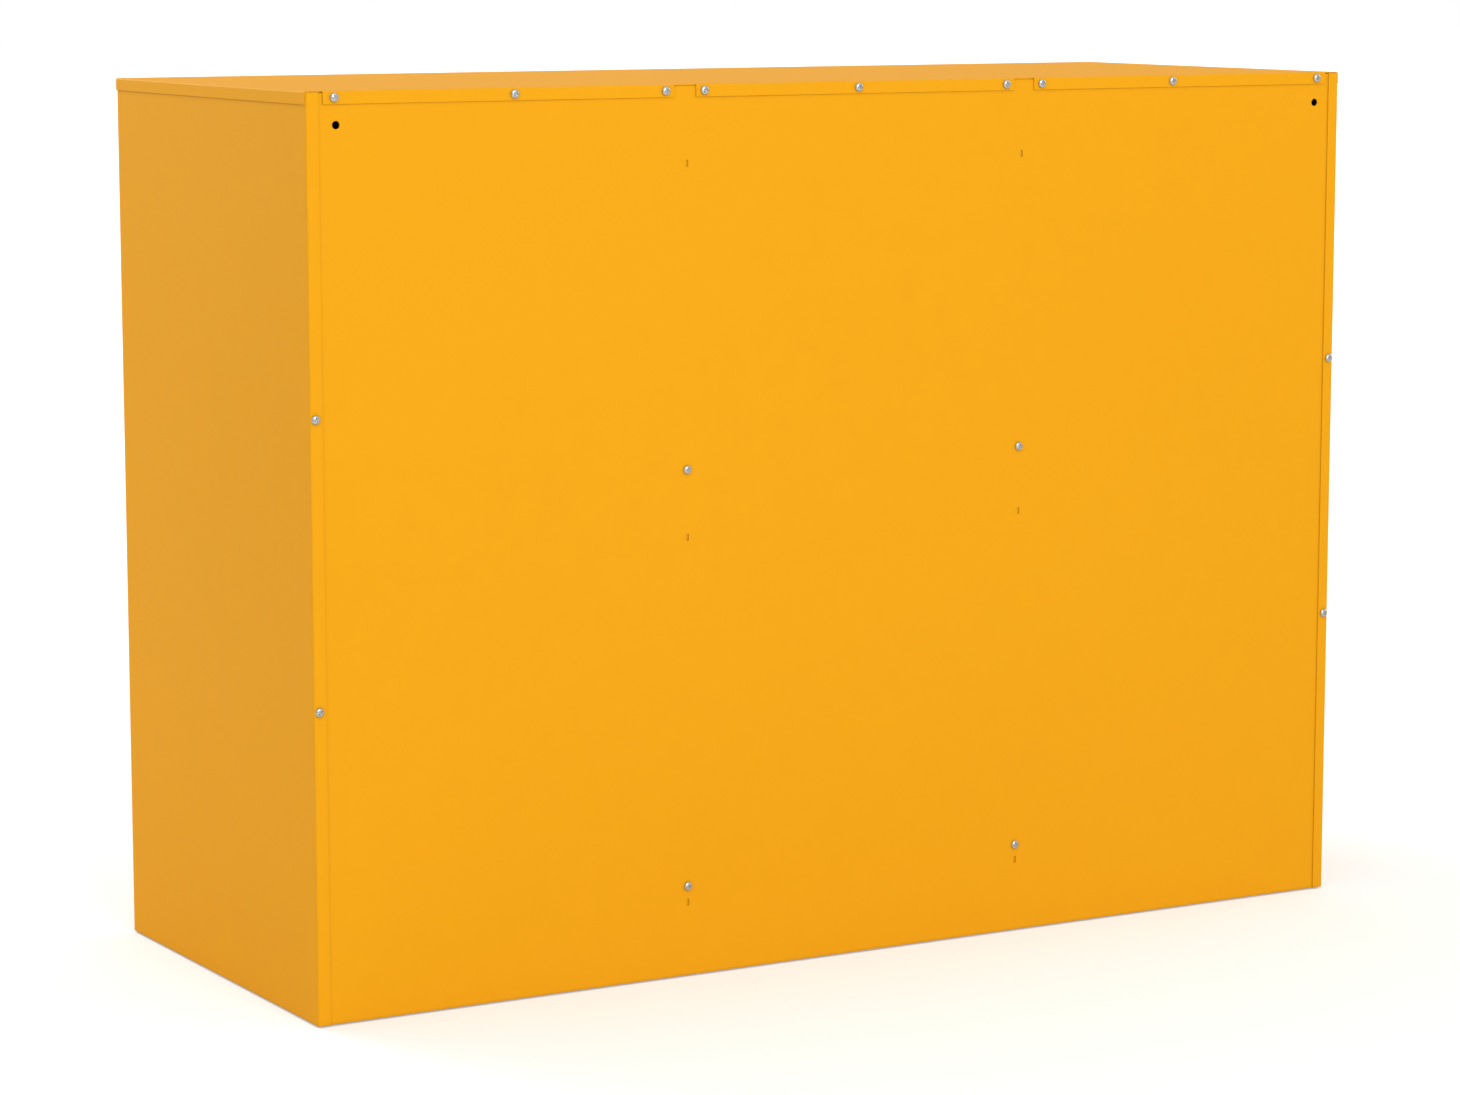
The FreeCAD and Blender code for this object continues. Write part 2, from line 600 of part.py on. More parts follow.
def make_pivot_pins(bay):
    """Upper and lower pins held in the door's returns, each with a collar inside the door."""
    pin = Piece("pivot_pin_master_" + bay[0], keep=False)
    pin.pad("XY", -S.pin_reach, S.gauge + S.pin_collar_height + S.pin_tail, circles=[(0, 0, S.pin_radius)])
    pin.pad("XY", S.gauge, S.gauge + S.pin_collar_height, circles=[(0, 0, S.pin_collar)])
    links = []
    for level, turn in ((door_bottom, Rotation()), (door_top, HEAD_DOWN)):
        link = doc.addObject("App::Link", "pivot_pin_%s_copy%d" % (bay[0], len(links) + 1))
        link.LinkedObject = pin.body
        link.Placement = FreeCAD.Placement(Vector(), turn)
        for letter, size in zip("xyz", (pivot_x(bay), pivot_y, level)):
            bind(link, "Placement.Base." + letter, size)
        links.append(link)
    pins = doc.addObject("Part::Compound", "pivot_pins_" + bay[0])
    pins.Label = "pivot_pins_" + bay[0]
    pins.Links = links
    nodes.append(pins)


def make_pivot_bushes():
    """Flanged nylon bushes in the floor sheet and in the top rail, one pair for each door."""
    bush = Piece("pivot_bush_master", keep=False)
    bush.pad("XY", 0, S.bush_flange_height, circles=[(0, 0, S.bush_flange)])
    bush.pad("XY", -S.bush_depth, 0, circles=[(0, 0, S.bush_shank)])
    bush.cut("XY", -S.bush_depth, S.bush_flange_height, circles=[(0, 0, S.pin_radius + S.pin_play)])
    links = []
    for level, turn in ((floor_top, Rotation()), (opening_top, HEAD_DOWN)):
        for bay in BAYS:
            link = doc.addObject("App::Link", "pivot_bush_copy%d" % (len(links) + 1))
            link.LinkedObject = bush.body
            link.Placement = FreeCAD.Placement(Vector(), turn)
            for letter, size in zip("xyz", (pivot_x(bay), pivot_y, level)):
                bind(link, "Placement.Base." + letter, size)
            links.append(link)
    bushes = doc.addObject("Part::Compound", "pivot_bushes")
    bushes.Label = "pivot_bushes"
    bushes.Links = links
    nodes.append(bushes)


def make_handle(bay):
    """Moulded recessed pull: rim on the skin, cup through it, grip standing over the cup's free side."""
    centre = from_free_edge(bay, S.handle_inset)
    towards_free = -bay[2]
    rim_face = front_plane - S.handle_rim
    tip = front_plane - S.handle_projection
    half_rim, half_cup = S.handle_width / 2, S.cup_width / 2
    high = S.cup_length / 2

    def box_at(half_x, half_z):
        return rectangle(centre - half_x, centre + half_x, S.handle_level - half_z, S.handle_level + half_z)

    handle = Piece("door_handle_" + bay[0])
    handle.pad("XZ", rim_face, front_plane, box_at(half_rim, S.handle_length / 2))
    handle.pad("XZ", front_plane, front_plane + S.cup_depth + S.handle_wall,
               box_at(half_cup + S.handle_wall, high + S.handle_wall))
    handle.cut("XZ", rim_face, front_plane + S.cup_depth, box_at(half_cup, high))
    grip_back = tip + S.grip_edge
    grip = [(half_rim, front_plane), (half_rim, rim_face), (half_cup, tip),
            (half_cup - S.grip_reach, tip), (half_cup - S.grip_reach, grip_back),
            (half_cup - S.handle_wall, grip_back), (half_cup, grip_back + S.handle_wall),
            (half_cup, front_plane)]
    handle.pad("XY", S.handle_level - high - S.handle_wall, S.handle_level + high + S.handle_wall,
               [(centre + x * towards_free, y) for x, y in grip])
    handle.cut("XZ", rim_face, front_plane,
               circles=[(centre, S.handle_level + S.handle_screw_pitch / 2 * k,
                         S.small_shank + S.screw_play) for k in (-1, 1)])
    handle.round_edges(S.grip_edge / 2, (centre + (half_cup - S.grip_reach) * towards_free, tip, None),
                       (centre + half_cup * towards_free, tip, None))
    return handle


def make_strike_plate(bay):
    """Steel plate on the door's upper lip that meets the magnet."""
    centre = from_free_edge(bay, S.catch_inset)
    level = door_top - S.door_lip / 2
    plate = Piece("strike_plate_" + bay[0])
    plate.pad("XZ", door_back, door_back + S.strike_gauge,
              rectangle(centre - S.strike_width / 2, centre + S.strike_width / 2,
                        level - S.strike_height / 2, level + S.strike_height / 2))
    plate.cut("XZ", door_back, door_back + S.strike_gauge,
              circles=[(centre, level, S.small_head + S.fit_gap)])


def make_catches():
    """Magnet catches under the top rail: case with two ears, magnet block in its mouth."""
    face = door_back + S.strike_gauge + S.catch_gap
    case = Piece("catch_case_master", keep=False)
    case.pad("XY", -S.catch_height, 0, rectangle(-S.catch_width / 2, S.catch_width / 2, 0, S.catch_depth))
    reach = S.catch_width / 2 + S.catch_ear
    case.pad("XY", -S.catch_ear_height, 0, rectangle(-reach, reach, 0, S.catch_depth))
    mouth = rectangle(-S.magnet_width / 2, S.magnet_width / 2,
                      -(S.catch_height + S.magnet_height) / 2, -(S.catch_height - S.magnet_height) / 2)
    case.cut("XZ", 0, S.magnet_depth, mouth)
    ear = (S.catch_width + S.catch_ear) / 2
    case.cut("XY", -S.catch_ear_height, 0,
             circles=[(ear * k, S.catch_depth / 2, S.small_shank + S.screw_play) for k in (-1, 1)])
    magnet = Piece("catch_magnet_master", keep=False)
    magnet.pad("XZ", 0, S.magnet_depth, mouth)
    places = [(from_free_edge(bay, S.catch_inset), face, opening_top) for bay in BAYS]
    group("door_catches", case, places)
    group("catch_magnets", magnet, places)
    group("catch_screws", small_screw,
          [(x, catch_screw_y, opening_top - S.catch_ear_height) for x in catch_screw_x()], HEAD_DOWN)


# ---------------------------------------------------------------- shelves
def bay_walls(bay):
    """Inner faces of the two walls of a bay, low X first."""
    if bay[1] == 0:
        return post_outer * -1 + S.gauge, post_outer - S.gauge
    near, far = post_outer, side_inner
    return (near, far) if bay[1] > 0 else (-far, -near)


strip_y = [return_end + S.strip_front, back_inner - S.strip_rear]


def make_shelf_strips(bay):
    """Four slotted channels standing on the bay's walls, open towards the wall."""
    half, deep, thick = S.strip_width / 2, S.strip_depth, S.strip_gauge
    strip = Piece("shelf_strip_master_" + bay[0], keep=False)
    strip.pad("XY", strip_bottom, strip_top,
              [(0, -half), (deep, -half), (deep, half), (0, half), (0, half - thick),
               (deep - thick, half - thick), (deep - thick, thick - half), (0, thick - half)])
    first = strip_bottom + S.slot_start
    strip.cut("YZ", deep - thick, deep, rectangle(-S.slot_width / 2, S.slot_width / 2,
                                                  first - S.slot_height, first))
    slot = strip.body.Tip
    rows = strip.body.newObject("PartDesign::LinearPattern", "strip_rows_" + bay[0])
    rows.Originals = [slot]
    rows.Direction = ([f for f in strip.body.Origin.OriginFeatures if f.Role == "Z_Axis"][0], [""])
    bind(rows, "Length", S.slot_pitch * (slot_count - 1))
    bind(rows, "Occurrences", slot_count)
    strip.body.Tip = rows
    doc.recompute()
    low, high = bay_walls(bay)
    links = []
    for wall, turn in ((low, Rotation()), (high, Rotation(Vector(0, 0, 1), 180))):
        for y in strip_y:
            link = doc.addObject("App::Link", "strip_%s_copy%d" % (bay[0], len(links) + 1))
            link.LinkedObject = strip.body
            link.Placement = FreeCAD.Placement(Vector(), turn)
            bind(link, "Placement.Base.x", wall)
            bind(link, "Placement.Base.y", y)
            links.append(link)
    strips = doc.addObject("Part::Compound", "shelf_strips_" + bay[0])
    strips.Label = "shelf_strips_" + bay[0]
    strips.Links = links
    nodes.append(strips)


def make_shelf_clips(bay):
    """Four steel hooks in the strips: a hook behind the slot, an apron in front, a tongue for the shelf."""
    thick, deep = S.clip_gauge, S.strip_depth
    slack = S.fit_gap / 2
    clip = Piece("shelf_clip_master_" + bay[0], keep=False)
    inside = deep - S.strip_gauge - slack - thick
    front = deep + slack
    clip.pad("XZ", -S.clip_width / 2, S.clip_width / 2,
             [(inside, 0), (front + S.clip_reach, 0), (front + S.clip_reach, -thick),
              (front + thick, -thick), (front + thick, -S.clip_apron), (front, -S.clip_apron),
              (front, -thick), (inside + thick, -thick), (inside + thick, -S.clip_hook),
              (inside, -S.clip_hook)])
    low, high = bay_walls(bay)
    links = []
    for wall, turn in ((low, Rotation()), (high, Rotation(Vector(0, 0, 1), 180))):
        for y in strip_y:
            link = doc.addObject("App::Link", "clip_%s_copy%d" % (bay[0], len(links) + 1))
            link.LinkedObject = clip.body
            link.Placement = FreeCAD.Placement(Vector(), turn)
            for letter, size in zip("xyz", (wall, y, clip_top)):
                bind(link, "Placement.Base." + letter, size)
            links.append(link)
    clips = doc.addObject("Part::Compound", "shelf_clips_" + bay[0])
    clips.Label = "shelf_clips_" + bay[0]
    clips.Links = links
    nodes.append(clips)


def make_shelf(bay):
    """Tray turned down all round, with a lip turned in under it."""
    low, high = bay_walls(bay)
    left, right = low + S.strip_depth + S.shelf_side_gap, high - S.strip_depth - S.shelf_side_gap
    front, rear = return_end + S.shelf_front_gap, back_inner - S.shelf_rear_gap
    under = shelf_top - S.shelf_fold

    def ring(inset):
        return rectangle(left + inset, right - inset, front + inset, rear - inset)

    shelf = Piece("shelf_" + bay[0])
    shelf.pad("XY", shelf_top - S.gauge, shelf_top, ring(0))
    shelf.pad("XY", under, shelf_top - S.gauge, ring(0), ring(S.gauge))
    shelf.pad("XY", under, under + S.gauge, ring(0), ring(S.shelf_lip))
    shelf.round_edges(outer_bend, (None, front, shelf_top), (None, rear, shelf_top))


# ---------------------------------------------------------------- assembly
glide_x = side_inner - S.foot_flange / 2
glide_y = [front_plane + S.foot_flange_setback + S.glide_inset / 2, back_outer - S.glide_inset]
bracket_screw_x = side_inner - S.bracket_leg / 2
bracket_screw_places = [(bracket_screw_x * s, S.bracket_reach * k, floor_top)
                        for s in (-1, 1) for k in (-1, 1)]
post_foot_x = post_outer - S.gauge - S.post_foot_flange / 2
post_foot_places = [(post_foot_x * s, S.post_foot_reach * k, floor_top + S.gauge)
                    for s in (-1, 1) for k in (-1, 1)]
catch_screw_y = door_back + S.strike_gauge + S.catch_gap + S.catch_depth / 2

make_top_panel()
make_front_rail()
make_back_panel()
make_bottom_panel()
for side_name, side_sign in (("left", -1), ("right", 1)):
    make_side_panel(side_name, side_sign)
    make_partition(side_name, side_sign)
make_base_brackets()
make_foot_glides()
make_pivot_bushes()
make_catches()
for bay in BAYS:
    make_door(bay)
    make_stiffener(bay)
    make_pivot_pins(bay)
    make_handle(bay)
    make_strike_plate(bay)
    make_shelf_strips(bay)
    make_shelf_clips(bay)
    make_shelf(bay)
    group("handle_screws_" + bay[0], small_screw,
          [(from_free_edge(bay, S.handle_inset), front_plane - S.handle_rim,
            S.handle_level + S.handle_screw_pitch / 2 * k) for k in (-1, 1)], HEAD_TO_FRONT)
    group("strike_screw_" + bay[0], small_screw,
          [(from_free_edge(bay, S.catch_inset), door_back, door_top - S.door_lip / 2)], HEAD_TO_REAR)
group("top_tab_screws", panel_screw, [(x, rear_plane, z) for x, z in tab_screw_places], HEAD_TO_REAR)
group("side_flange_screws", panel_screw, [(x, rear_plane, z) for x, z in side_screw_places], HEAD_TO_REAR)
group("partition_screws", panel_screw, [(x, back_outer, z) for x, z in post_screw_places], HEAD_TO_REAR)
group("base_screws", base_screw, bracket_screw_places + post_foot_places)
group("base_nuts", nut, [(x, y, floor_under - S.bracket_gauge) for x, y, _ in bracket_screw_places]
      + [(x, y, floor_under) for x, y, _ in post_foot_places])

# ---------------------------------------------------------------- checks and export
doc.recompute()
for thing in doc.Objects:
    if "Invalid" in thing.State or "Error" in thing.State:
        raise RuntimeError("%s did not rebuild: %s" % (thing.Name, thing.State))
for node in nodes:
    if node.Shape.isNull() or not node.Shape.isValid() or not node.Shape.Solids:
        raise RuntimeError("%s has no sound solid" % node.Label)
os.makedirs("parts", exist_ok=True)
for node in nodes:
    node.Shape.exportStep("parts/%s.step" % node.Label)
print("%d nodes, %d solids" % (len(nodes), sum(len(node.Shape.Solids) for node in nodes)))
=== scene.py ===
"""Looks for the steel sideboard: powder-coated sheet, zinc screws and moulded door pulls.

Lengths are in metres, and sizes written in millimetres are multiplied by MM.
"""
import json
import math

import bpy
import numpy as np
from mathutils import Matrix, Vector


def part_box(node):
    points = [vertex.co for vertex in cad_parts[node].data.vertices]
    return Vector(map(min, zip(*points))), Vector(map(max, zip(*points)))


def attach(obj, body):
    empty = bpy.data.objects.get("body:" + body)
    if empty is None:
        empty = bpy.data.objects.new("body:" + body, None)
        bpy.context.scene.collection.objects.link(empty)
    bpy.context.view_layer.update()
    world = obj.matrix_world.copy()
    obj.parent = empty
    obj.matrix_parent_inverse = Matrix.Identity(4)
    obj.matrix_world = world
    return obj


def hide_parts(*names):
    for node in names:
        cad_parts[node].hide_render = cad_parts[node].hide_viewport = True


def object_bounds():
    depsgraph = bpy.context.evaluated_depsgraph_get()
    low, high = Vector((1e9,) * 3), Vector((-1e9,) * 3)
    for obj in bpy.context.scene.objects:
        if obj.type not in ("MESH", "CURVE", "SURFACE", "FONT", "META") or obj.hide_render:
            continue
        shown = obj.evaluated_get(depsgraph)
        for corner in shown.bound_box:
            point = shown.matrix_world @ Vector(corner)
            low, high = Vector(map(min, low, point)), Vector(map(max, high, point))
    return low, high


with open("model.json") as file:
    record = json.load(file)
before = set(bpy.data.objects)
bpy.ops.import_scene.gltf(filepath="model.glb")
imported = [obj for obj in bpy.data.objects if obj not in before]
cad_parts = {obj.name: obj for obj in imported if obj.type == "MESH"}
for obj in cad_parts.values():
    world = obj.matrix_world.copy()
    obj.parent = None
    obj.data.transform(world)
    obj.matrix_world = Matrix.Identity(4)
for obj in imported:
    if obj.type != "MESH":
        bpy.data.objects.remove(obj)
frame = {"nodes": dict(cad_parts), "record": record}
cad_low, cad_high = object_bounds()
MM = 0.001
BAYS = ("left", "middle", "right")
UP, DOWN = (0, 0, 1), (0, 0, -1)
BACKWARD, FORWARD = (0, 1, 0), (0, -1, 0)


# ---------------------------------------------------------------- shader building
class Value:
    """A shader socket that can be used in arithmetic."""

    def __init__(self, tree, socket):
        self.tree, self.socket = tree, socket

    def maths(self, operation, *terms):
        node = self.tree.nodes.new("ShaderNodeMath")
        node.operation = operation
        for slot, term in zip(node.inputs, terms):
            feed(self.tree, slot, term)
        return Value(self.tree, node.outputs[0])

    def __add__(self, other):
        return self.maths("ADD", self, other)

    def __rsub__(self, other):
        return self.maths("SUBTRACT", other, self)

    def __mul__(self, other):
        return self.maths("MULTIPLY", self, other)

    __radd__ = __add__


def feed(tree, slot, term):
    """Links a value to a socket, or sets a constant on the socket."""
    if isinstance(term, Value):
        tree.links.new(term.socket, slot)
    else:
        slot.default_value = term


def ramp(tree, socket, start, stop, low, high):
    """A level that climbs smoothly from low to high while a socket goes from start to stop."""
    node = tree.nodes.new("ShaderNodeMapRange")
    node.interpolation_type = "SMOOTHSTEP"
    names = ("From Min", "From Max", "To Min", "To Max")
    for name, level in zip(names, (start, stop, low, high)):
        node.inputs[name].default_value = level
    tree.links.new(socket, node.inputs["Value"])
    return Value(tree, node.outputs["Result"])


class Finish:
    """A material under construction, with a Principled shader at its end.

    A socket's name is written with underscores for its spaces.
    """

    def __init__(self, name, **fixed):
        self.material = bpy.data.materials.new(name)
        self.material.use_nodes = True
        self.tree = self.material.node_tree
        self.shader = self.tree.nodes["Principled BSDF"]
        self.set(**fixed)
        self.place = self.add("ShaderNodeTexCoord", output="Object")

    def add(self, kind, settings=None, output=0, **inputs):
        """Any other node: its settings, then its sockets by name, or by number as in _6."""
        node = self.tree.nodes.new(kind)
        for name, setting in (settings or {}).items():
            setattr(node, name, setting)
        for name, term in inputs.items():
            number = name[1:]
            key = int(number) if number.isdigit() else name.replace("_", " ")
            feed(self.tree, node.inputs[key], term)
        return Value(self.tree, node.outputs[output])

    def noise(self, scale, detail=2.0, roughness=0.5):
        """Noise on the piece's own coordinates, with its scale in waves a metre."""
        return self.add("ShaderNodeTexNoise", Vector=self.place,
                        Scale=scale, Detail=detail, Roughness=roughness)

    def blend(self, factor, low, high):
        """One colour to another: a Mix node's colours are its inputs 6 and 7 and output 2."""
        return self.add("ShaderNodeMix", {"data_type": "RGBA"}, output=2,
                        Factor=factor, _6=low, _7=high)

    def bump(self, height, depth, below=None):
        """Relief of some depth, on top of another relief where there is one below."""
        under = {} if below is None else {"Normal": below}
        return self.add("ShaderNodeBump", Height=height, Distance=depth, Strength=1.0, **under)

    def set(self, **sockets):
        """Feeds the sockets of the Principled shader."""
        for name, term in sockets.items():
            feed(self.tree, self.shader.inputs[name.replace("_", " ")], term)
        return self


# ---------------------------------------------------------------- finishes
PAINT = (0.875, 0.385, 0.0075)
PAINT_TONES = (0.972, 1.028)
# Painted shade in inner corners: how dark it makes the paint's colour, and how far from a face it
# reaches.
PAINTED_CORNER_SHADE, PAINTED_SHADE_REACH = 0.42, 4.0 * MM


def shade(colour, factor):
    """A colour made lighter or darker, with an alpha of 1."""
    return tuple(level * factor for level in colour) + (1.0,)


def powder_coat():
    """Satin powder coat: fine orange peel, faint unevenness of tone, slightly wavy sheet.

    The colour is darkened in inner corners, where another face is within PAINTED_SHADE_REACH:
    painted shade read from an ambient occlusion node, not a colour of the paint.
    """
    paint = Finish("powder_coat", Specular_IOR_Level=0.06)
    cloud = paint.noise(2.2, detail=3.0)
    mottle = paint.noise(38.0, detail=4.0, roughness=0.6)
    grain = paint.noise(900.0)
    tone = cloud * 0.55 + mottle * 0.45
    colour = paint.blend(tone, *(shade(PAINT, level) for level in PAINT_TONES))
    # Painted shade: ambient occlusion darkens the paint's colour in inner corners, under lips and
    # round screw heads.
    openness_for_painted_shade = paint.add("ShaderNodeAmbientOcclusion", {"samples": 6}, output="AO",
                        Distance=PAINTED_SHADE_REACH)
    colour = paint.blend(openness_for_painted_shade, shade(PAINT, PAINTED_CORNER_SHADE), colour)
    wavy_sheet = paint.bump(paint.noise(3.2, detail=1.0), 0.8 * MM)
    orange_peel = paint.bump(paint.noise(520.0, detail=1.5), 0.02 * MM, wavy_sheet)
    return paint.set(Base_Color=colour, Roughness=0.46 + mottle * 0.10 + grain * 0.06,
                     Normal=orange_peel)


def zinc(name, colour, rough):
    """Zinc plate: bright metal with a fine milky bloom, small dents and tumbling marks."""
    plate = Finish(name, Metallic=1.0)
    bloom = plate.noise(700.0, detail=3.0, roughness=0.6)
    colour = plate.blend(bloom, shade(colour, 0.84), shade(colour, 1.08))
    marks = plate.bump(plate.noise(2500.0), 0.006 * MM)
    dents = plate.bump(plate.noise(420.0, detail=1.0), 0.02 * MM, marks)
    return plate.set(Base_Color=colour, Roughness=rough + bloom * 0.14, Normal=dents)


def moulded(name, colour, rough, depth):
    """Moulded plastic with a spark-eroded texture of some depth."""
    plastic = Finish(name, Specular_IOR_Level=0.45)
    patch = plastic.noise(60.0, detail=3.0)
    colour = plastic.blend(patch, shade(colour, 0.9), shade(colour, 1.12))
    roughness = rough + patch * 0.08
    texture = plastic.bump(plastic.noise(2600.0, roughness=0.7), depth)
    return plastic.set(Base_Color=colour, Roughness=roughness, Normal=texture)


# Colour, least roughness and, for plastics, depth of texture.
METALS = {
    "zinc_screw": ((0.60, 0.60, 0.585), 0.20),
    "bright_steel": ((0.56, 0.56, 0.55), 0.30),
}
PLASTICS = {
    "black_plastic": ((0.018, 0.018, 0.020), 0.40, 0.03 * MM),
    "nylon": ((0.62, 0.61, 0.57), 0.40, 0.008 * MM),
    "catch_plastic": ((0.70, 0.70, 0.68), 0.38, 0.008 * MM),
    "magnet": ((0.03, 0.03, 0.032), 0.45, 0.01 * MM),
}
FINISHES = {"powder_coat": powder_coat()}
FINISHES.update({name: zinc(name, *look) for name, look in METALS.items()})
FINISHES.update({name: moulded(name, *look) for name, look in PLASTICS.items()})

record = frame["record"]
slot_of = {entry["node"]: entry["material_slot"] for entry in record["subparts"]}
body_of = {name: body for body, members in record["behaviour"]["bodies"].items()
           for name in members}


def dress(piece, slot):
    piece.data.materials.clear()
    piece.data.materials.append(FINISHES[slot].material)


for name, node in frame["nodes"].items():
    dress(node, slot_of[name])


# ---------------------------------------------------------------- shapes
SAME_PLACE = 1e-5
SHARP_ANGLE = math.radians(38)
AROUND = 48


def solids_of(name):
    """Boxes of a node's separate solids, as (lowest, highest) corners in a fixed order.

    Points at one place become one label; each triangle gives its corners their lowest label until
    nothing changes, so each solid ends with a label of its own.
    """
    mesh = frame["nodes"][name].data
    places = np.empty(len(mesh.vertices) * 3)
    mesh.vertices.foreach_get("co", places)
    places = places.reshape(-1, 3)
    corners = np.empty(len(mesh.loops), int)
    mesh.loops.foreach_get("vertex_index", corners)
    steps = np.round(places / SAME_PLACE).astype(int)
    joined, label_of = np.unique(steps, axis=0, return_inverse=True)
    triangles = label_of.ravel()[corners].reshape(-1, 3)
    labels = np.arange(len(joined))
    while True:
        lowest = labels.copy()
        for corner in range(3):
            np.minimum.at(lowest, triangles[:, corner], labels[triangles].min(axis=1))
        lowest = lowest[lowest]
        if (lowest == labels).all():
            break
        labels = lowest
    labels = labels[label_of.ravel()]
    solids = [places[labels == label] for label in np.unique(labels)]
    boxes = [(points.min(axis=0), points.max(axis=0)) for points in solids]
    return sorted(boxes, key=lambda pair: tuple(np.round(pair[0], 5)))


def shell(rings, ring_closed=False):
    """Closed skin over rings of points, shape (rings, points, 3).

    Each ring closes on itself. The end rings are shut by fans to their middles, or with
    ring_closed the last ring joins the first. If the volume it holds comes out negative, it is
    turned the right way out.
    """
    count, around = rings.shape[:2]
    row = np.arange(count if ring_closed else count - 1)[:, None] * around
    along = np.arange(around)[None, :]
    after = (along + 1) % around
    row_next = (row + around) % (count * around)
    quads = np.stack([row + along, row + after, row_next + after, row_next + along], axis=-1)
    quads = quads.reshape(-1, 4)
    points = rings.reshape(-1, 3)
    fans = np.empty((0, 3), int)
    if not ring_closed:
        ends = np.stack([rings[0].mean(axis=0), rings[-1].mean(axis=0)])
        last = (count - 1) * around
        here, there = along[0], after[0]
        first_middle, last_middle = (np.full(around, len(points) + end) for end in (0, 1))
        fans = np.concatenate([np.stack([there, here, first_middle], axis=-1),
                               np.stack([last + here, last + there, last_middle], axis=-1)])
        points = np.concatenate([points, ends])
    triangles = np.concatenate([quads[:, :3], quads[:, [0, 2, 3]], fans])
    a, b, c = (points[triangles[:, n]] for n in range(3))
    if np.einsum("ij,ij->", a, np.cross(b, c)) < 0:
        quads, fans = quads[:, ::-1], fans[:, ::-1]
    return points, quads, fans


def build(name, shells, node):
    """One piece from several shells, standing for a node of the frame."""
    points, faces, start = [], [], 0
    for places, quads, fans in shells:
        points.append(places)
        faces += (quads + start).tolist() + (fans + start).tolist()
        start += len(places)
    mesh = bpy.data.meshes.new(name)
    mesh.from_pydata(np.concatenate(points).tolist(), [], faces)
    mesh.polygons.foreach_set("use_smooth", np.ones(len(mesh.polygons), bool))
    mesh.set_sharp_from_angle(angle=SHARP_ANGLE)
    mesh.update()
    piece = bpy.data.objects.new(name, mesh)
    bpy.context.scene.collection.objects.link(piece)
    slot = slot_of[node]
    dress(piece, slot)
    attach(piece, body_of[node])
    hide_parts(node)


class Frame3:
    """A place and three directions: points given as across, up and out become points in space."""

    def __init__(self, origin, across, up, out):
        self.origin = np.asarray(origin, float)
        self.axes = np.array([across, up, out], float)

    def __call__(self, across, up, out):
        across, up, out = np.broadcast_arrays(across, up, out)
        return self.origin + np.stack([across, up, out], axis=-1) @ self.axes

    def round(self, radius, angle, level):
        """Points at a radius and an angle round the out axis, at a level along it."""
        return self(radius * np.cos(angle), radius * np.sin(angle), level)


def towards(origin, direction, turn=0.0):
    """A frame whose out axis lies along x, y or z, turned about it by some radians."""
    out = np.asarray(direction, float)
    across = np.roll(np.abs(out), 1)
    up = np.cross(out, across)
    return Frame3(origin, across * math.cos(turn) + up * math.sin(turn),
                  up * math.cos(turn) - across * math.sin(turn), out)


def smooth(level):
    """0 below 0, 1 above 1, and the curve 3 x^2 - 2 x^3 between."""
    level = np.clip(level, 0, 1)
    return level * level * (3 - 2 * level)


def full_below(level, stop, slope):
    """1 while a level is well below a stop, 0 above the stop, smooth over the slope between."""
    return smooth((stop - level) / slope)


def lathed(place, profile, ring_closed=False):
    """Turned shape, (r cos t, r sin t, h): radius and height pairs carried round the out axis."""
    radius, height = np.asarray(profile, float).T[..., None]
    angle = np.linspace(0, 2 * np.pi, AROUND, endpoint=False)
    return shell(place.round(radius, angle, height), ring_closed)


def arc(middle_r, middle_h, radius, start, stop, count):
    """Points of a round corner, as radius and height pairs; angles in degrees from the radius."""
    angle = np.radians(np.linspace(start, stop, count))
    return [(middle_r + radius * math.cos(a), middle_h + radius * math.sin(a)) for a in angle]


def rounded_ring(half_a, half_b, radius, per_corner):
    """Rounded rectangle: a quarter circle at each corner, starting on the +a side."""
    quarter = np.linspace(0, np.pi / 2, per_corner)
    a, b = [], []
    for corner, (sign_a, sign_b) in enumerate(((1, 1), (-1, 1), (-1, -1), (1, -1))):
        turn = quarter + corner * np.pi / 2
        a.append(sign_a * (half_a - radius) + radius * np.cos(turn))
        b.append(sign_b * (half_b - radius) + radius * np.sin(turn))
    return np.concatenate(a), np.concatenate(b)


def rounded_box(low, high, radius):
    """A sphere's points pushed apart octant by octant, so that flats join its eight corners.

    The end rings stay just off the poles, so that their points are apart.
    """
    steps, off_pole = 5, 0.999
    low, high = np.asarray(low, float), np.asarray(high, float)
    middle, half = (low + high) / 2, (high - low) / 2 - radius
    tilt = np.linspace(0, np.pi / 2, steps)
    lift = np.concatenate([-tilt[::-1], tilt])
    lift[[0, -1]] *= off_pole
    lift, lift_sign = lift[:, None], np.repeat([-1, 1], steps)[:, None]
    turn = np.concatenate([tilt + quarter * np.pi / 2 for quarter in range(4)])
    sign_x = np.repeat([1, -1, -1, 1], steps)
    sign_y = np.repeat([1, 1, -1, -1], steps)
    x = radius * np.cos(lift) * np.cos(turn) + half[0] * sign_x
    y = radius * np.cos(lift) * np.sin(turn) + half[1] * sign_y
    z = radius * np.sin(lift) + half[2] * lift_sign
    return shell(middle + np.stack(np.broadcast_arrays(x, y, z), axis=-1))


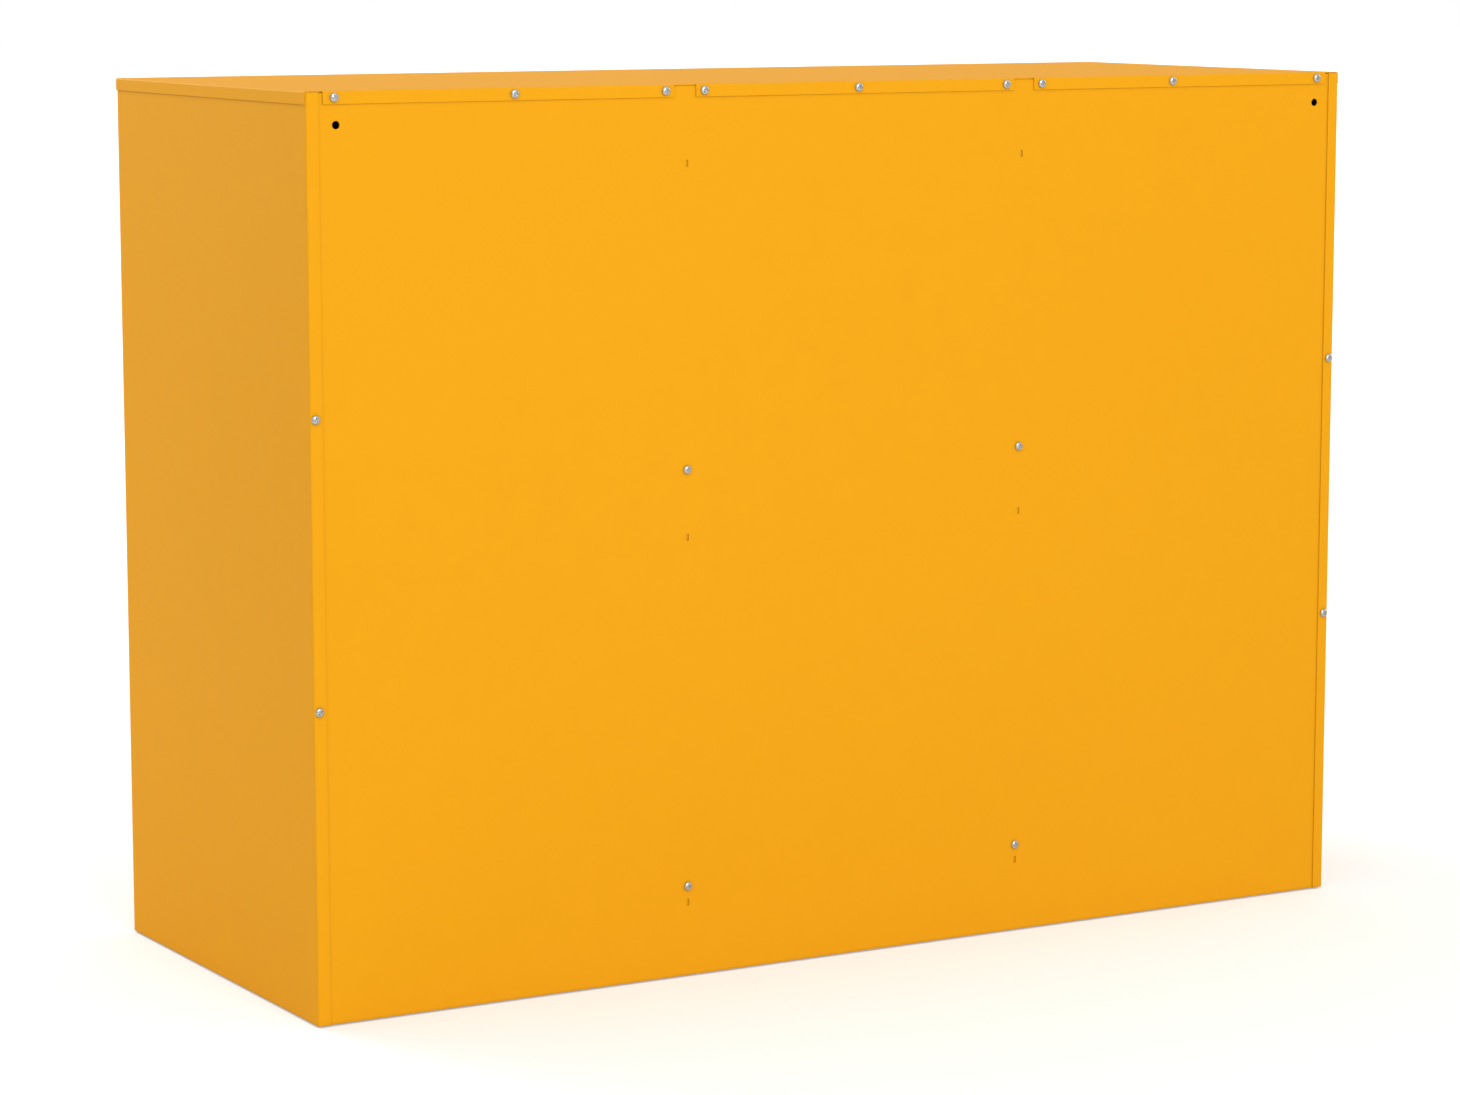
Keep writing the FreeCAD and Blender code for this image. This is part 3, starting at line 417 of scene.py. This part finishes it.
def folded(place, corners, bend, thick, wide, edge):
    """Sheet strip: a rounded rectangular section carried along a path with rounded bends.

    The path runs through corners (across, up). Each bend is a quadratic curve between the points
    where an arc of the bend's radius would begin and end. The strip's width lies along the out
    axis, and edge is the radius of its edges.
    """
    bend_steps, edge_steps = 7, 4
    corners = np.asarray(corners, float)
    path = [corners[0]]
    for before, corner, following in zip(corners[:-2], corners[1:-1], corners[2:]):
        into = (corner - before) / np.linalg.norm(corner - before)
        away = (following - corner) / np.linalg.norm(following - corner)
        turn = math.acos(float(np.clip(into @ away, -1, 1)))
        reach = bend * math.tan(turn / 2)
        first, last = corner - into * reach, corner + away * reach
        for t in np.linspace(0, 1, bend_steps):
            path.append((1 - t) ** 2 * first + 2 * t * (1 - t) * corner + t * t * last)
    path = np.array(path + [corners[-1]])
    run = np.gradient(path, axis=0)
    run /= np.linalg.norm(run, axis=1)[:, None]
    side = np.stack([-run[:, 1], run[:, 0]], axis=1)
    across, along = rounded_ring(thick / 2, wide / 2, edge, edge_steps)
    flat = path[:, None, :] + side[:, None, :] * across[None, :, None]
    return shell(place(flat[..., 0], flat[..., 1], along[None, :]))


# ---------------------------------------------------------------- fixings
# Sizes in millimetres: head, shank and arm are radii, and slot is half the recess arm's width.
SCREW_KINDS = {
    "panel": dict(head=3.75, height=2.2, shank=2.0, length=6.0,
                  arm=2.1, slot=0.34, deep=1.2, pitch=0.95),
    "base": dict(head=3.75, height=2.2, shank=2.0, length=9.0,
                 arm=2.1, slot=0.34, deep=1.2, pitch=0.7),
    "small": dict(head=2.6, height=1.2, shank=1.4, length=5.0,
                  arm=1.45, slot=0.24, deep=0.65, pitch=0.7),
}
# Lines of angle across one arm of the recess: 0 is along the arm, 1 half-way to the next one.
WINGS = np.array([-1, -0.8, -0.62, -0.55, -0.45, -0.38, -0.25, -0.1,
                  0.1, 0.25, 0.38, 0.45, 0.55, 0.62, 0.8])
ARM_WING = 0.5
# Rings of the head: the inner ones as shares of the arm, the outer ones as degrees round the dome.
RECESS_RINGS = np.array([0.08, 0.2, 0.32, 0.40, 0.47, 0.54, 0.7, 0.85, 0.93, 1.0, 1.07, 1.16])
DOME_RINGS = np.radians([52, 60, 68, 75, 81, 86, 90])
CORE_SHARE = 0.80
TURN_PER_SCREW = 2.4


def cross_recess(radius, wing, reach):
    """How deep a cross recess is, from 0 to 1, with wing 0 along an arm and 1 between arms.

    Each arm has a floor and a sloping wall, the middle is a round well, and the floor rises
    towards the arm's end.
    """
    rise = 0.35
    arm = full_below(wing, 0.62, 0.22) * full_below(radius, reach * 1.06, reach * 0.16)
    well = full_below(radius, reach * 0.50, reach * 0.14)
    return np.maximum(arm, well) * (1 - rise * np.clip(radius / reach, 0, 1))


def screw(place, head, height, shank, length, arm, slot, deep, pitch):
    """Pan-head screw standing on its place: domed head, cross recess, rolled thread, cone point.

    The head is a superellipse turned round the out axis: above its flank it rises at radius r by
    (1 - (r / head)^3)^(1/2.2). Its lines of angle crowd to the arm's edges, asin(slot / radius),
    so that the recess has straight walls. The thread is the core radius plus a ridge that climbs
    one pitch a turn, (0.5 + 0.5 cos(2 pi turns - angle))^2.
    """
    wing = np.tile(np.abs(WINGS), 4)
    radius = np.concatenate([RECESS_RINGS * arm, head * np.sin(DOME_RINGS) ** 0.9])[:, None]
    edge = np.arcsin(np.clip(slot / np.minimum(radius, arm * 1.1), 0, 0.5))
    inner = np.clip(np.abs(WINGS) / ARM_WING, 0, 1) * edge
    outer = np.interp(np.abs(WINGS), [0, ARM_WING, 1], [0, 0, 1]) * (np.pi / 4 - edge)
    angle = np.sign(WINGS) * (inner + outer)
    angle = np.concatenate([angle + quarter * np.pi / 2 for quarter in range(4)], axis=1)
    flank = 0.12 * height
    dome = flank + (height - flank) * np.clip(1 - (radius / head) ** 3.0, 0, 1) ** (1 / 2.2)
    top = place.round(radius, angle, dome - cross_recess(radius, wing, arm) * deep)
    spin = angle[-1]
    under = np.array([head * 0.985, head * 0.95, shank * 1.15])[:, None]
    foot = place.round(under, spin, np.array([flank * 0.25, 0.0, 0.0])[:, None])
    turns = length / pitch
    level = np.linspace(0, 1, int(turns * 6) + 2)[:, None]
    ridge = 0.5 + 0.5 * np.cos(2 * np.pi * level * turns - spin)
    point = np.clip((1 - level) * length / (1.4 * shank), 0.12, 1)
    thread = CORE_SHARE + (1 - CORE_SHARE) * ridge ** 2 * smooth(level * 12)
    stem = place.round(shank * thread * point, spin, -level * length)
    return shell(np.concatenate([top, foot, stem]))


def hexagon_nut(place, flat, tall, bore):
    """Hexagon nut: radius flat / cos(angle from the nearest flat), corners cut by a 30 degree cone.

    The section is radius and level pairs, round from the bore and back to it.
    """
    lead = 0.3 * MM
    mouth, face = bore + lead, flat * 0.93
    angle = np.linspace(0, 2 * np.pi, 72, endpoint=False)
    side = flat / np.cos((angle + np.pi / 6) % (np.pi / 3) - np.pi / 6)
    drop = np.clip(side - flat * 0.98, 0, None) * math.tan(math.radians(30))
    section = [(bore, lead), (mouth, 0), (face, 0), (side, drop),
               (side, tall - drop), (face, tall), (mouth, tall), (bore, tall - lead)]
    radius, level = (np.stack([term + 0 * side for term in column]) for column in zip(*section))
    return shell(place.round(radius, angle, level), ring_closed=True)


def middle_of(low, high, **fixed):
    """Middle of a box, with any axis given put in its place."""
    place = (low + high) / 2
    for axis, level in fixed.items():
        place["xyz".index(axis)] = level
    return place


def make_screws(node, kind, direction):
    """Every screw of a node, its head outermost along the direction."""
    sizes = {name: size * MM for name, size in SCREW_KINDS[kind].items()}
    axis = int(np.argmax(np.abs(direction)))
    shells = []
    for number, (low, high) in enumerate(solids_of(node)):
        top = (high if direction[axis] > 0 else low)[axis]
        place = middle_of(low, high)
        place[axis] = top - direction[axis] * sizes["height"]
        turn = TURN_PER_SCREW * number + len(node)
        shells.append(screw(towards(place, direction, turn), **sizes))
    build(node + "_fine", shells, node)


for node in ("top_tab_screws", "side_flange_screws", "partition_screws"):
    make_screws(node, "panel", BACKWARD)
make_screws("base_screws", "base", UP)
make_screws("catch_screws", "small", DOWN)
for bay in BAYS:
    make_screws("handle_screws_" + bay, "small", FORWARD)
    make_screws("strike_screw_" + bay, "small", BACKWARD)

nuts = [hexagon_nut(towards(middle_of(low, high, z=low[2]), UP),
                    flat=3.5 * MM, tall=3.2 * MM, bore=2.1 * MM)
        for low, high in solids_of("base_nuts")]
build("base_nuts_fine", nuts, "base_nuts")


# ---------------------------------------------------------------- turned parts
# Profiles are radius and height pairs in millimetres.
# Pivot pin from its bearing end: rounded end, shank, collar against the door's fold, riveted tail.
PIN_PROFILE = ([(0.2, -7.0), (1.9, -7.0)] + arc(1.9, -6.4, 0.6, -90, 0, 5)
               + [(2.5, -0.2), (2.5, 0.8), (3.7, 0.8)] + arc(3.7, 1.1, 0.3, -90, 0, 4)
               + arc(3.7, 2.5, 0.3, 0, 90, 4) + [(2.5, 2.8)]
               + arc(2.0, 8.3, 0.5, 0, 90, 4) + [(0.2, 8.8)])
# Flanged bush, a closed section: bore with led-in mouths, rounded flange, shank with a led-in end.
BUSH_PROFILE = ([(2.6, -5.6), (2.6, 1.1)] + arc(3.0, 1.1, 0.4, 180, 90, 4)
                + arc(4.3, 1.1, 0.4, 90, 0, 4) + arc(4.5, 0.2, 0.2, 0, -90, 3)
                + [(3.8, 0.0), (3.8, -5.4), (3.4, -6.0), (2.9, -6.0)])
# Foot glide: broad disc with a rounded rim, stem with a snap ridge.
GLIDE_PROFILE = ([(0.3, 0.0), (8.2, 0.0)] + arc(8.2, 0.7, 0.7, -90, 0, 5)
                 + arc(8.4, 0.9, 0.6, 0, 90, 4)
                 + [(3.2, 1.5), (2.9, 1.8), (2.9, 2.4), (3.0, 2.9), (3.0, 3.4), (2.3, 4.7),
                    (0.3, 4.7)])
PIN_BEARING, BUSH_FLANGE = 7.0 * MM, 1.5 * MM


def make_turned(node, profile, seats, ring_closed=False):
    """One turned shape at each seat: (place, direction)."""
    profile = np.array(profile) * MM
    shells = [lathed(towards(place, direction), profile, ring_closed)
              for place, direction in seats]
    build(node + "_fine", shells, node)


def pivot_seats(node, inset, from_inner_end):
    """Seats of pieces at the doors' pivots: the lower pieces point up, the upper ones down.

    The inset is measured from the piece's end at the floor or top, or from the other, inner end.
    """
    middle_level = (cad_low[2] + cad_high[2]) / 2
    seats = []
    for low, high in solids_of(node):
        rise = 1 if low[2] < middle_level else -1
        outer_end, inner_end = (low[2], high[2])[::rise]
        level = inner_end - rise * inset if from_inner_end else outer_end + rise * inset
        seats.append((middle_of(low, high, z=level), (0, 0, rise)))
    return seats


for bay in BAYS:
    seats = pivot_seats("pivot_pins_" + bay, PIN_BEARING, from_inner_end=False)
    make_turned("pivot_pins_" + bay, PIN_PROFILE, seats)
make_turned("pivot_bushes", BUSH_PROFILE,
            pivot_seats("pivot_bushes", BUSH_FLANGE, from_inner_end=True), ring_closed=True)
make_turned("foot_glides", GLIDE_PROFILE,
            [(middle_of(low, high, z=low[2]), UP) for low, high in solids_of("foot_glides")])


# ---------------------------------------------------------------- door pulls
# Half widths, half heights and corner radii in millimetres: the cup's mouth and the rim's flat.
MOUTH, MOUTH_CORNER = (12.0, 37.0), 6.0
RIM, RIM_CORNER = (17.4, 46.4), 8.4


def pull_cup(place):
    """Rim and cup: a rounded rectangle whose size, corner and level follow a section.

    The section starts on the cup's floor, climbs the drafted wall, rolls over the mouth, crosses
    the rim, rounds its edge and returns behind the cup. Each line of it gives the rectangle that
    it starts from, the growth all round, the corner's radius and the level.
    """
    floor, back, lip_level = -12.5, -14.1, 0.4
    fillet, lip, edge, wall = 3.2, 1.2, 1.6, 1.6
    section = [(MOUTH, -5.0, 3.0, floor)]
    for t in np.linspace(0, 1.45, 8):
        section.append((MOUTH, -4.0 + fillet * math.sin(t), 4.0 + 0.8 * math.sin(t),
                        floor + fillet * (1 - math.cos(t))))
    section += [(MOUTH, -0.25, 5.6, -2.0), (MOUTH, 0.0, MOUTH_CORNER, lip_level)]
    for t in np.linspace(0.2, math.pi / 2, 6):
        growth = lip * (1 - math.cos(t))
        section.append((MOUTH, growth, MOUTH_CORNER + growth, lip_level + lip * math.sin(t)))
    section.append((RIM, 0.0, RIM_CORNER, edge))
    for t in np.linspace(0.25, math.pi / 2, 6):
        growth = edge * math.sin(t)
        section.append((RIM, growth, RIM_CORNER + growth, edge * math.cos(t)))
    section += [(MOUTH, wall, 7.0, 0.0), (MOUTH, wall, 7.0, -11.5),
                (MOUTH, -1.0, 5.0, back), (MOUTH, -5.0, 3.0, back)]
    rings = []
    for (half_a, half_b), growth, corner, level in section:
        a, b = rounded_ring(half_a + growth, half_b + growth, corner, per_corner=10)
        rings.append(place(a * MM, b * MM, level * MM))
    return shell(np.array(rings))


def pull_hood(place):
    """Finger grip: a superellipse section that swells and sinks along the pull's height.

    At height v the swell is (1 - |v / 38.3|^3.2)^(1/1.7). The outer curve is a quarter
    superellipse from the rim to the tip, the tip is half an ellipse, and the inner curve returns
    to the cup's wall.
    """
    half_tall, reach, fullness = 38.2, 38.3, 2 / 2.7
    height = half_tall * np.sin(np.linspace(-np.pi / 2, np.pi / 2, 57))
    swell = np.clip(1 - np.abs(height / reach) ** 3.2, 0, 1) ** (1 / 1.7)
    crown = (1.2 + 7.4 * swell)[:, None]
    tip = (12.6 - 12.0 * swell)[:, None]
    thick = (0.3 + 2.3 * swell)[:, None]

    def quarter(t, foot, foot_out, top):
        """Quarter superellipse, at its foot when t is 0 and at the tip when t is pi / 2."""
        return (tip + (foot - tip) * np.cos(t) ** fullness,
                foot_out + (top - foot_out) * np.sin(t) ** fullness)

    outer = quarter(np.linspace(0.02, np.pi / 2, 18), 18.7, 0.9, crown)
    t = np.linspace(0, np.pi, 10)[1:-1]
    end = tip - thick / 2 * 0.9 * np.sin(t), crown - thick / 2 + thick / 2 * np.cos(t)
    inner = quarter(np.linspace(np.pi / 2, 0, 14), 12.4, -1.5, crown - thick)
    hidden = np.array([13.2, 13.4, 18.2]) + 0 * tip, np.array([-1.2, 0.5, 0.5]) + 0 * tip
    across, out = (np.concatenate(curves, axis=1) for curves in zip(outer, end, inner, hidden))
    return shell(place(across * MM, height[:, None] * MM, out * MM))


for bay, free_side in (("left", 1), ("middle", 1), ("right", -1)):
    low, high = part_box("door_handle_" + bay)
    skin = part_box("door_" + bay)[0].y
    middle = ((low.x + high.x) / 2, skin, (low.z + high.z) / 2)
    place = Frame3(middle, (free_side, 0, 0), UP, FORWARD)
    build("door_pull_" + bay, [pull_cup(place), pull_hood(place)], "door_handle_" + bay)


# ---------------------------------------------------------------- catches
# Blocks of a catch case, in millimetres from its middle, front and underside: x, y and z ranges.
CATCH_BLOCKS = {
    "ear plate": ((-27.0, 27.0), (0.0, 18.0), (10.5, 13.0)),
    "lower jaw": ((-18.0, 18.0), (0.15, 17.9), (0.0, 3.0)),
    "upper jaw": ((-17.9, 17.9), (0.15, 17.9), (10.0, 12.4)),
    "left cheek": ((-18.0, -13.1), (0.1, 17.8), (0.3, 12.4)),
    "right cheek": ((13.1, 18.0), (0.1, 17.8), (0.3, 12.4)),
    "back": ((-14.0, 14.0), (12.2, 17.7), (0.5, 12.4)),
}
CASE_EDGE, MAGNET_EDGE, STRIKE_EDGE = 0.7 * MM, 0.15 * MM, 0.3 * MM
LAYER_INSETS = (0.0, 0.5 * MM, 0.0)


def make_catches():
    """Catch cases from rounded boxes, and magnets of three layers with the middle one set back."""
    cases, magnets = [], []
    for low, high in solids_of("door_catches"):
        corner = np.array([(low[0] + high[0]) / 2, low[1], low[2]])
        for ranges in CATCH_BLOCKS.values():
            block_low, block_high = corner + np.array(ranges).T * MM
            cases.append(rounded_box(block_low, block_high, CASE_EDGE))
    for low, high in solids_of("catch_magnets"):
        third = (high[2] - low[2]) / len(LAYER_INSETS)
        for layer, inset in enumerate(LAYER_INSETS):
            layer_low = (low[0], low[1] + inset, low[2] + third * layer)
            layer_high = (high[0], high[1], low[2] + third * (layer + 1))
            magnets.append(rounded_box(layer_low, layer_high, MAGNET_EDGE))
    build("door_catches_fine", cases, "door_catches")
    build("catch_magnets_fine", magnets, "catch_magnets")


make_catches()
for bay in BAYS:
    low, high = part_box("strike_plate_" + bay)
    plate = rounded_box(low, high, STRIKE_EDGE)
    build("strike_plate_%s_fine" % bay, [plate], "strike_plate_" + bay)


# ---------------------------------------------------------------- clips and brackets
def wall_frame(low, high, inward):
    """A frame at the upper edge of a box, on its wall side, with across pointing inward."""
    wall = low[0] if inward > 0 else high[0]
    return Frame3((wall, (low[1] + high[1]) / 2, high[2]), (inward, 0, 0), UP, BACKWARD)


def make_clips(bay):
    """Bent steel clips: a hook down behind the slot, a tongue under the shelf, an apron below."""
    thick, bend, edge = 1.6 * MM, 0.9 * MM, 0.25 * MM
    half = thick / 2
    low_all, high_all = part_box("shelf_clips_" + bay)
    centre = (low_all.x + high_all.x) / 2
    shells = []
    for low, high in solids_of("shelf_clips_" + bay):
        place = wall_frame(low, high, 1 if (low[0] + high[0]) / 2 < centre else -1)
        reach = high[0] - low[0]
        tongue = [(half, -5.0 * MM), (half, -half), (reach, -half)]
        shells.append(folded(place, tongue, bend, thick, 10.0 * MM, edge))
        front = reach - 11.0 * MM + half
        apron = [(front, -14.0 * MM), (front, -1.0 * MM)]
        shells.append(folded(place, apron, bend, thick, 9.9 * MM, edge))
    build("shelf_clips_%s_fine" % bay, shells, "shelf_clips_" + bay)


def make_brackets():
    """Angles bent from strip: a leg under the floor sheet and a leg down the side."""
    thick, bend, edge = 1.5 * MM, 1.6 * MM, 0.2 * MM
    half = thick / 2
    shells = []
    for low, high in solids_of("base_brackets"):
        leg = high[0] - low[0]
        path = [(half, -leg), (half, -half), (leg, -half)]
        place = wall_frame(low, high, 1 if low[0] < 0 else -1)
        shells.append(folded(place, path, bend, thick, high[1] - low[1], edge))
    build("base_brackets_fine", shells, "base_brackets")


for bay in BAYS:
    make_clips(bay)
make_brackets()


# ---------------------------------------------------------------- studio
FLOOR_HALF, FLOOR_GREY = 30.0, (0.80, 0.80, 0.80, 1)
NEAR, FAR = 0.9, 5.0
NEAR_LIFT, FAR_LIFT = 0.30, 0.72
ZENITH_RISE, REFLECTED_EXTRA = 0.85, 0.06
HORIZON, ZENITH = 0.50, 0.80
EYE = (1.8268, 3.124, 0.8396)
YAW, PITCH = 30.185, 8.152
LENS, SENSOR = 103.63, 36.0
MIDDLE_OF_VIEW = (0, 0, 0.35)


def make_floor():
    """Pale floor: plain diffuse to the object, lifted to the background's white for the camera.

    The lift grows with distance, where the lamps fade, and is small near the cabinet, where its
    shadow shows.
    """
    mesh = bpy.data.meshes.new("floor")
    corners = [(x * FLOOR_HALF, y * FLOOR_HALF, 0) for x, y in ((-1, -1), (1, -1), (1, 1), (-1, 1))]
    mesh.from_pydata(corners, [], [(0, 1, 2, 3)])
    floor = bpy.data.objects.new("floor", mesh)
    bpy.context.scene.collection.objects.link(floor)
    material = bpy.data.materials.new("pale_floor")
    material.use_nodes = True
    tree = material.node_tree
    tree.nodes.clear()
    diffuse = tree.nodes.new("ShaderNodeBsdfDiffuse")
    diffuse.inputs["Color"].default_value = FLOOR_GREY
    glow = tree.nodes.new("ShaderNodeEmission")
    path = tree.nodes.new("ShaderNodeLightPath")
    place = tree.nodes.new("ShaderNodeTexCoord")
    distance = tree.nodes.new("ShaderNodeVectorMath")
    distance.operation = "LENGTH"
    tree.links.new(place.outputs["Object"], distance.inputs[0])
    away = ramp(tree, distance.outputs["Value"], NEAR, FAR, NEAR_LIFT, FAR_LIFT)
    lift = Value(tree, path.outputs["Is Camera Ray"]) * away
    tree.links.new(lift.socket, glow.inputs["Strength"])
    both = tree.nodes.new("ShaderNodeAddShader")
    tree.links.new(diffuse.outputs[0], both.inputs[0])
    tree.links.new(glow.outputs[0], both.inputs[1])
    out = tree.nodes.new("ShaderNodeOutputMaterial")
    tree.links.new(both.outputs[0], out.inputs["Surface"])
    mesh.materials.append(material)


def make_world():
    """White surroundings, full white to the camera; their light is strongest overhead."""
    world = bpy.data.worlds.new("studio")
    bpy.context.scene.world = world
    world.use_nodes = True
    tree = world.node_tree
    path = tree.nodes.new("ShaderNodeLightPath")
    direction = tree.nodes.new("ShaderNodeTexCoord")
    split = tree.nodes.new("ShaderNodeSeparateXYZ")
    tree.links.new(direction.outputs["Generated"], split.inputs[0])
    light = ramp(tree, split.outputs["Z"], 0.0, ZENITH_RISE, HORIZON, ZENITH)
    camera = Value(tree, path.outputs["Is Camera Ray"])
    glossy = Value(tree, path.outputs["Is Glossy Ray"])
    strength = camera + (1 - camera) * (light + glossy * REFLECTED_EXTRA)
    background = tree.nodes["Background"]
    background.inputs["Color"].default_value = (1, 1, 1, 1)
    tree.links.new(strength.socket, background.inputs["Strength"])


def softbox(name, place, size, power):
    """Round soft lamp, out of the camera's sight, aimed at the middle of the view."""
    lamp = bpy.data.lights.new(name, "AREA")
    lamp.shape = "DISK"
    lamp.size = size
    lamp.energy = power
    holder = bpy.data.objects.new(name, lamp)
    holder.location = place
    aim = Vector(MIDDLE_OF_VIEW) - Vector(place)
    holder.rotation_euler = aim.to_track_quat("-Z", "Y").to_euler()
    holder.visible_camera = False
    bpy.context.scene.collection.objects.link(holder)


def make_camera():
    """Stands behind the cabinet, to the side, looking slightly down through a long lens."""
    data = bpy.data.cameras.new("camera")
    data.lens = LENS
    data.sensor_width = SENSOR
    camera = bpy.data.objects.new("camera", data)
    yaw, pitch = math.radians(YAW), math.radians(PITCH)
    forward = Vector((-math.sin(yaw) * math.cos(pitch), -math.cos(yaw) * math.cos(pitch),
                      -math.sin(pitch)))
    camera.location = EYE
    camera.rotation_euler = forward.to_track_quat("-Z", "Y").to_euler()
    bpy.context.scene.collection.objects.link(camera)
    bpy.context.scene.camera = camera


make_floor()
make_world()
make_camera()
softbox("back_key", (0.5, 3.8, 2.1), size=2.4, power=65)
softbox("front_key", (1.5, -3.6, 2.1), size=2.4, power=78)
softbox("fill", (-3.6, 0.0, 1.6), size=2.0, power=14)
bpy.context.scene.view_settings.view_transform = "Standard"
